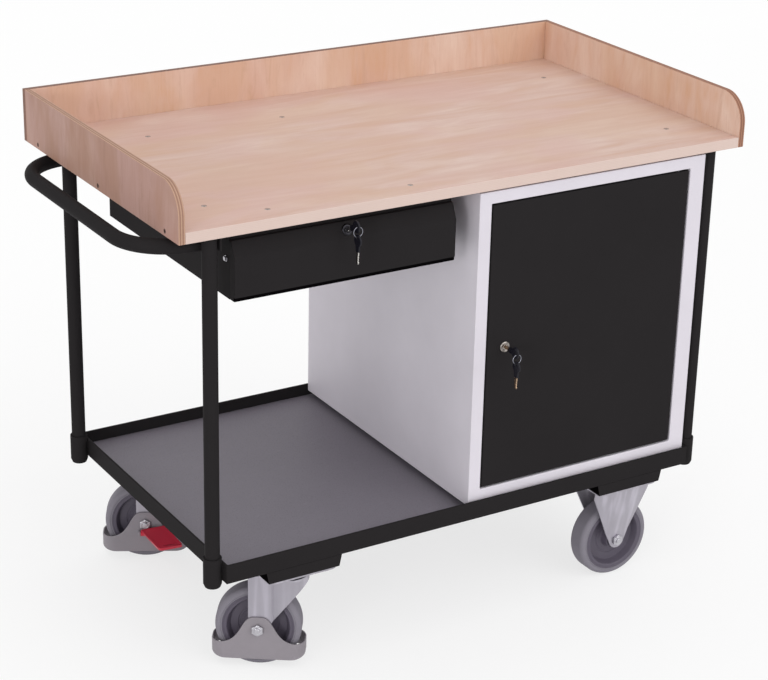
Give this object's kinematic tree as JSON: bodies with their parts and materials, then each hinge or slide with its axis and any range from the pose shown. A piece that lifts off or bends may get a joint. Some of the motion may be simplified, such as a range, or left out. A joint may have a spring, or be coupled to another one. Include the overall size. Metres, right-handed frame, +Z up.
{
  "type": "workshop trolley",
  "caption": "Workshop trolley with a plywood worktop and surround, lockable drawer and cabinet, open lower deck, push handle, swivel castors with foot guards and fixed castors.",
  "frame": {"origin": "on the floor, under the middle of the overall outline", "axes": "+Z up, -Y the front with the door and the drawer, -X the end with the push handle"},
  "size_m": [1.2494, 0.7012, 0.973],
  "materials": {
    "anthracite_paint": "satin powder coat",
    "light_grey_paint": "satin powder coat",
    "plywood": "sanded",
    "deck_board": "grey coated board",
    "zinc": "zinc plated",
    "nickel": "nickel plated",
    "tyre_grey": "matt, non-marking",
    "rim_grey": "moulded",
    "guard_grey": "moulded",
    "pedal_red": "moulded",
    "key_black": "moulded bow on a steel blade"
  },
  "bodies": {
    "carcass": {"deck_frame": "anthracite_paint", "deck_board": "deck_board", "leg_front_left": "anthracite_paint", "leg_front_right": "anthracite_paint", "leg_rear_left": "anthracite_paint", "leg_rear_right": "anthracite_paint", "top_cross_rail_left": "anthracite_paint", "top_cross_rail_right": "anthracite_paint", "push_handle": "anthracite_paint", "table_top": "plywood", "back_board": "plywood", "left_side_board": "plywood", "right_side_board": "plywood", "drawer_housing": "anthracite_paint", "drawer_runner_fixed_left": "zinc", "drawer_runner_fixed_right": "zinc", "cabinet_shell": "light_grey_paint", "cabinet_shelf": "light_grey_paint", "cabinet_skid_left": "anthracite_paint", "cabinet_skid_right": "anthracite_paint", "door_hinge_pin_top": "zinc", "door_hinge_pin_bottom": "zinc", "castor_bearer_left": "anthracite_paint", "castor_bearer_right": "anthracite_paint", "front_left_castor_plate": "zinc", "rear_left_castor_plate": "zinc", "front_right_fork": "zinc", "rear_right_fork": "zinc", "front_right_axle_bolt": "zinc", "rear_right_axle_bolt": "zinc"},
    "drawer": {"drawer_body": "anthracite_paint", "drawer_front": "anthracite_paint", "drawer_runner_moving_left": "zinc", "drawer_runner_moving_right": "zinc", "drawer_lock_body": "nickel"},
    "drawer_lock": {"drawer_lock_plug": "nickel", "drawer_key": "key_black"},
    "drawer_keys": {"drawer_key_ring": "nickel", "drawer_spare_key": "key_black"},
    "door": {"cabinet_door": "anthracite_paint", "door_lock_body": "nickel"},
    "door_lock": {"door_lock_plug": "nickel", "door_key": "key_black"},
    "door_keys": {"door_key_ring": "nickel", "door_spare_key": "key_black"},
    "front_left_swivel": {"front_left_fork": "zinc", "front_left_foot_guard": "guard_grey", "front_left_axle_bolt": "zinc"},
    "front_left_wheel": {"front_left_rim": "rim_grey", "front_left_tyre": "tyre_grey"},
    "rear_left_swivel": {"rear_left_fork": "zinc", "rear_left_foot_guard": "guard_grey", "rear_left_axle_bolt": "zinc"},
    "rear_left_wheel": {"rear_left_rim": "rim_grey", "rear_left_tyre": "tyre_grey"},
    "rear_left_pedal": {"rear_left_brake_pedal": "pedal_red"},
    "front_right_wheel": {"front_right_rim": "rim_grey", "front_right_tyre": "tyre_grey"},
    "rear_right_wheel": {"rear_right_rim": "rim_grey", "rear_right_tyre": "tyre_grey"}
  },
  "joints": [
    {"name": "drawer_slide", "type": "slide", "parent": "carcass", "child": "drawer", "axis": [0, -1, 0], "range_m": [0, 0.36]},
    {"name": "drawer_lock_turn", "type": "hinge", "parent": "drawer", "child": "drawer_lock", "pos_m": [-0.23183, -0.2829, 0.841], "axis": [0, -0.907, 0.4211], "range_deg": [0, 90]},
    {"name": "drawer_key_swing", "type": "hinge", "parent": "drawer_lock", "child": "drawer_keys", "pos_m": [-0.23183, -0.32009, 0.85827], "axis": [-1, 0, 0], "range_deg": [-12, 60]},
    {"name": "door_hinge", "type": "hinge", "parent": "carcass", "child": "door", "pos_m": [0.48168, -0.2894, 0.5646], "axis": [0, 0, 1], "range_deg": [0, 110]},
    {"name": "door_lock_turn", "type": "hinge", "parent": "door", "child": "door_lock", "pos_m": [0.09798, -0.2984, 0.5646], "axis": [0, 1, 0], "range_deg": [0, 90]},
    {"name": "door_key_swing", "type": "hinge", "parent": "door_lock", "child": "door_keys", "pos_m": [0.09798, -0.3394, 0.5646], "axis": [-1, 0, 0], "range_deg": [-12, 60]},
    {"name": "front_left_swivel_turn", "type": "hinge", "parent": "carcass", "child": "front_left_swivel", "pos_m": [-0.32282, -0.2499, 0.19], "axis": [0, 0, 1], "continuous": true},
    {"name": "front_left_wheel_spin", "type": "hinge", "parent": "front_left_swivel", "child": "front_left_wheel", "pos_m": [-0.36842, -0.21914, 0.08], "axis": [0.5592, 0.829, 0], "continuous": true},
    {"name": "rear_left_swivel_turn", "type": "hinge", "parent": "carcass", "child": "rear_left_swivel", "pos_m": [-0.32282, 0.2351, 0.19], "axis": [0, 0, 1], "continuous": true},
    {"name": "rear_left_wheel_spin", "type": "hinge", "parent": "rear_left_swivel", "child": "rear_left_wheel", "pos_m": [-0.37139, 0.26092, 0.08], "axis": [0.4695, 0.8829, 0], "continuous": true},
    {"name": "rear_left_pedal_press", "type": "hinge", "parent": "rear_left_swivel", "child": "rear_left_pedal", "pos_m": [-0.37952, 0.22113, 0.0615], "axis": [0.8829, -0.4695, 0], "range_deg": [0, 12]},
    {"name": "front_right_wheel_spin", "type": "hinge", "parent": "carcass", "child": "front_right_wheel", "pos_m": [0.40618, -0.2499, 0.08], "axis": [0, 1, 0], "continuous": true},
    {"name": "rear_right_wheel_spin", "type": "hinge", "parent": "carcass", "child": "rear_right_wheel", "pos_m": [0.40618, 0.2671, 0.08], "axis": [0, 1, 0], "continuous": true}
  ]
}
